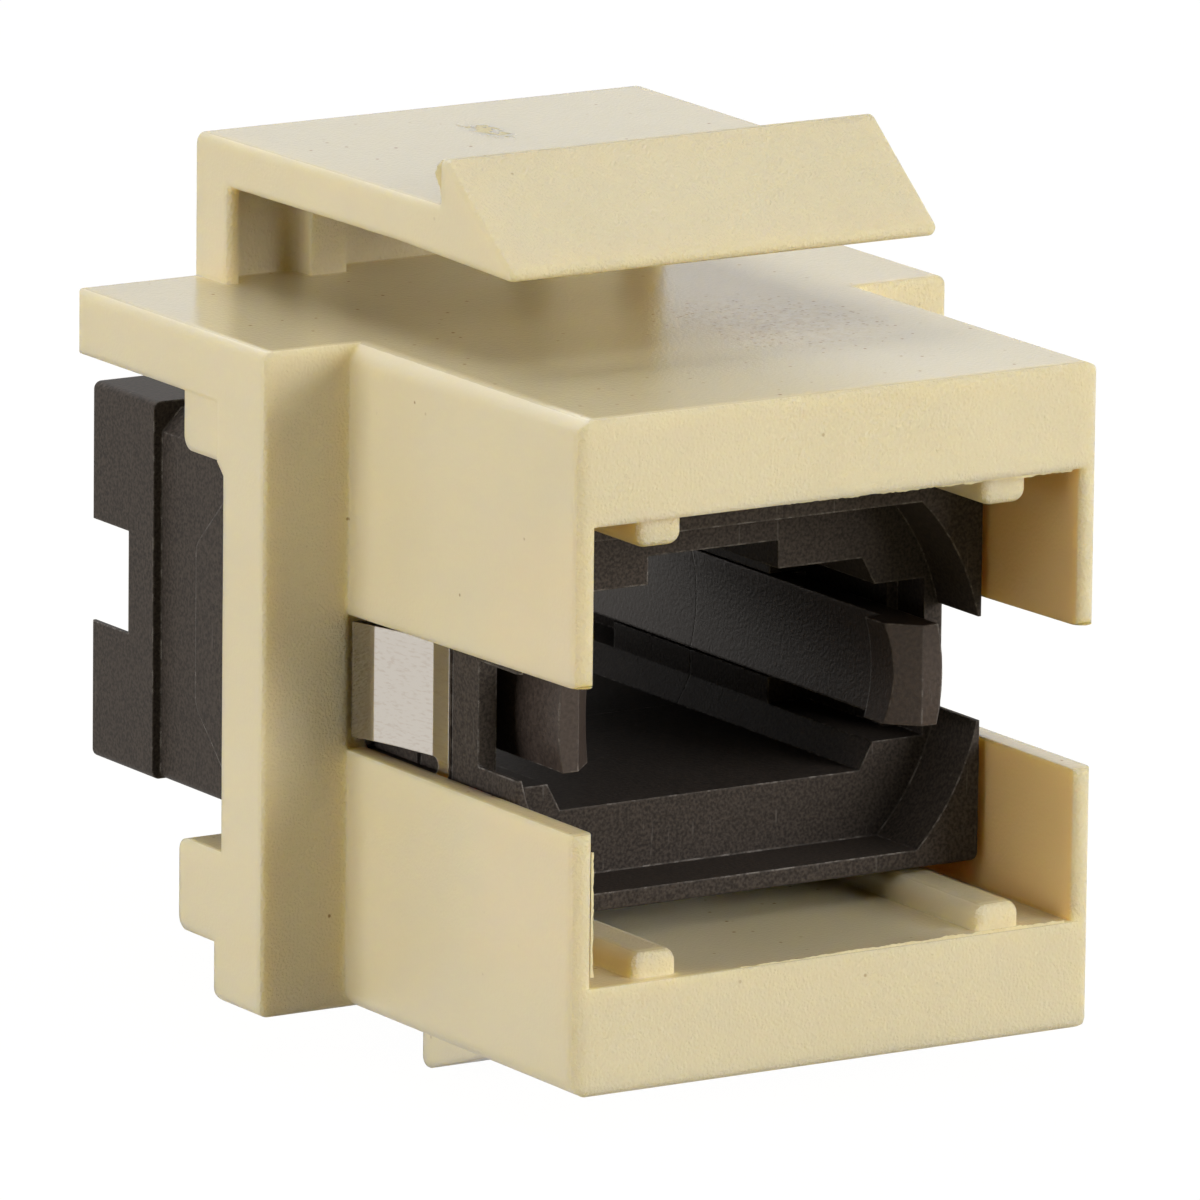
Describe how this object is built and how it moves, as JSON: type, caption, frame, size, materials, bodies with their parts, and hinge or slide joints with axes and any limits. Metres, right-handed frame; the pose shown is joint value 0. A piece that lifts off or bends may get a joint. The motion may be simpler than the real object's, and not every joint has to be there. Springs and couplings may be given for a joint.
{
  "type": "fibre optic adapter module",
  "caption": "Snap-in panel module with a flexing latch that carries a black multi-fibre push-on adapter with hooked latch arms, held by a sheet spring clip.",
  "frame": {"origin": "port axis on the plane where the flange meets the back of the panel", "axes": "+X across the port, +Y from the front plug side to the rear, +Z towards the flexing latch"},
  "size_m": [0.0192, 0.0236, 0.0221],
  "materials": {
    "ivory_plastic": "satin moulded",
    "black_plastic": "fine moulded texture",
    "insert_plastic": "smooth moulded",
    "spring_steel": "rolled sheet"
  },
  "bodies": {
    "root": {"keystone_housing": "ivory_plastic", "adapter_front_shell": "black_plastic", "adapter_rear_shell": "black_plastic", "front_latch_insert": "insert_plastic", "rear_latch_insert": "insert_plastic", "mounting_clip": "spring_steel"}
  },
  "joints": []
}
